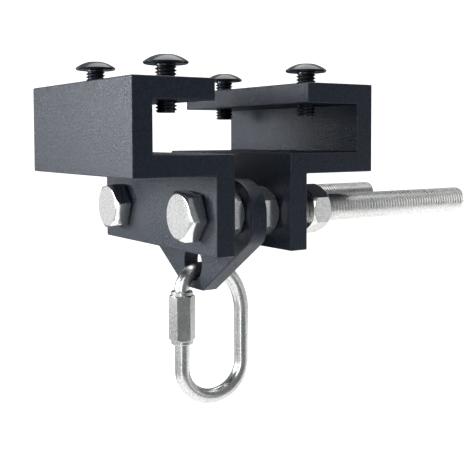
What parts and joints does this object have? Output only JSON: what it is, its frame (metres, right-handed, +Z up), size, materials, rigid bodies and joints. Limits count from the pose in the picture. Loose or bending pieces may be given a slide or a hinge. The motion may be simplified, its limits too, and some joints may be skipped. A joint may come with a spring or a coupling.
{
  "type": "beam clamp",
  "caption": "Adjustable beam clamp with two black C-shaped jaws, long zinc-plated bolts, a triangular hanger plate and an oval quick link",
  "frame": {"origin": "middle of the space between the jaws, level with the ledges that carry the beam flange's underside, and half way along the jaws", "axes": "+X across the beam from the left jaw to the right jaw, along the bolts; +Y along the beam; +Z up"},
  "size_m": [0.2218, 0.115, 0.1821],
  "materials": {
    "black_powder_coat": "fine-textured black powder coat on steel",
    "bright_zinc": "bright zinc plate",
    "black_oxide": "glossy black oxide on steel"
  },
  "bodies": {
    "left_jaw": {"left_jaw": "black_powder_coat"},
    "right_jaw": {"right_jaw": "black_powder_coat"},
    "hanger": {"hanger_plate": "black_powder_coat"},
    "front_bolt": {"front_bolt": "bright_zinc"},
    "rear_bolt": {"rear_bolt": "bright_zinc"},
    "front_left_lock_nut": {"front_left_lock_nut": "bright_zinc"},
    "front_right_lock_nut": {"front_right_lock_nut": "bright_zinc"},
    "rear_left_lock_nut": {"rear_left_lock_nut": "bright_zinc"},
    "rear_right_lock_nut": {"rear_right_lock_nut": "bright_zinc"},
    "front_clamp_nut": {"front_clamp_nut": "bright_zinc"},
    "rear_clamp_nut": {"rear_clamp_nut": "bright_zinc"},
    "front_left_clamp_screw": {"front_left_clamp_screw": "black_oxide"},
    "front_right_clamp_screw": {"front_right_clamp_screw": "black_oxide"},
    "rear_left_clamp_screw": {"rear_left_clamp_screw": "black_oxide"},
    "rear_right_clamp_screw": {"rear_right_clamp_screw": "black_oxide"},
    "quick_link": {"quick_link": "bright_zinc"},
    "link_sleeve": {"link_sleeve": "bright_zinc"}
  },
  "joints": [
    {"name": "right_jaw_slide", "type": "slide", "parent": "left_jaw", "child": "right_jaw", "axis": [1, 0, 0], "range_m": [0, 0.105]},
    {"name": "hanger_slide", "type": "slide", "parent": "left_jaw", "child": "hanger", "axis": [1, 0, 0], "range_m": [0, 0.0525]},
    {"name": "front_bolt_spin", "type": "hinge", "parent": "left_jaw", "child": "front_bolt", "pos_m": [-0.02625, -0.038, -0.029], "axis": [1, 0, 0], "continuous": true},
    {"name": "rear_bolt_spin", "type": "hinge", "parent": "left_jaw", "child": "rear_bolt", "pos_m": [-0.02625, 0.038, -0.029], "axis": [1, 0, 0], "continuous": true},
    {"name": "front_left_lock_nut_spin", "type": "hinge", "parent": "hanger", "child": "front_left_lock_nut", "pos_m": [-0.01015, -0.038, -0.029], "axis": [1, 0, 0], "continuous": true},
    {"name": "front_right_lock_nut_spin", "type": "hinge", "parent": "hanger", "child": "front_right_lock_nut", "pos_m": [0.01015, -0.038, -0.029], "axis": [1, 0, 0], "continuous": true},
    {"name": "rear_left_lock_nut_spin", "type": "hinge", "parent": "hanger", "child": "rear_left_lock_nut", "pos_m": [-0.01015, 0.038, -0.029], "axis": [1, 0, 0], "continuous": true},
    {"name": "rear_right_lock_nut_spin", "type": "hinge", "parent": "hanger", "child": "rear_right_lock_nut", "pos_m": [0.01015, 0.038, -0.029], "axis": [1, 0, 0], "continuous": true},
    {"name": "front_clamp_nut_slide", "type": "slide", "parent": "right_jaw", "child": "front_clamp_nut", "axis": [1, 0, 0], "range_m": [-0.0112, 0]},
    {"name": "rear_clamp_nut_slide", "type": "slide", "parent": "right_jaw", "child": "rear_clamp_nut", "axis": [1, 0, 0], "range_m": [-0.0112, 0]},
    {"name": "front_left_screw_slide", "type": "slide", "parent": "left_jaw", "child": "front_left_clamp_screw", "axis": [0, 0, 1], "range_m": [-0.0065, 0.008]},
    {"name": "rear_left_screw_slide", "type": "slide", "parent": "left_jaw", "child": "rear_left_clamp_screw", "axis": [0, 0, 1], "range_m": [-0.0089, 0.008]},
    {"name": "front_right_screw_slide", "type": "slide", "parent": "right_jaw", "child": "front_right_clamp_screw", "axis": [0, 0, 1], "range_m": [-0.006, 0.008]},
    {"name": "rear_right_screw_slide", "type": "slide", "parent": "right_jaw", "child": "rear_right_clamp_screw", "axis": [0, 0, 1], "range_m": [-0.0057, 0.008]},
    {"name": "quick_link_swing", "type": "hinge", "parent": "hanger", "child": "quick_link", "pos_m": [0, 0, -0.0615], "axis": [1, 0, 0], "range_deg": [-60, 60]},
    {"name": "link_sleeve_slide", "type": "slide", "parent": "quick_link", "child": "link_sleeve", "axis": [0, 0, 1], "range_m": [-0.0115, 0]}
  ],
  "couplings": [
    {"joint": "hanger_slide", "follows": "right_jaw_slide", "ratio": 0.5}
  ]
}
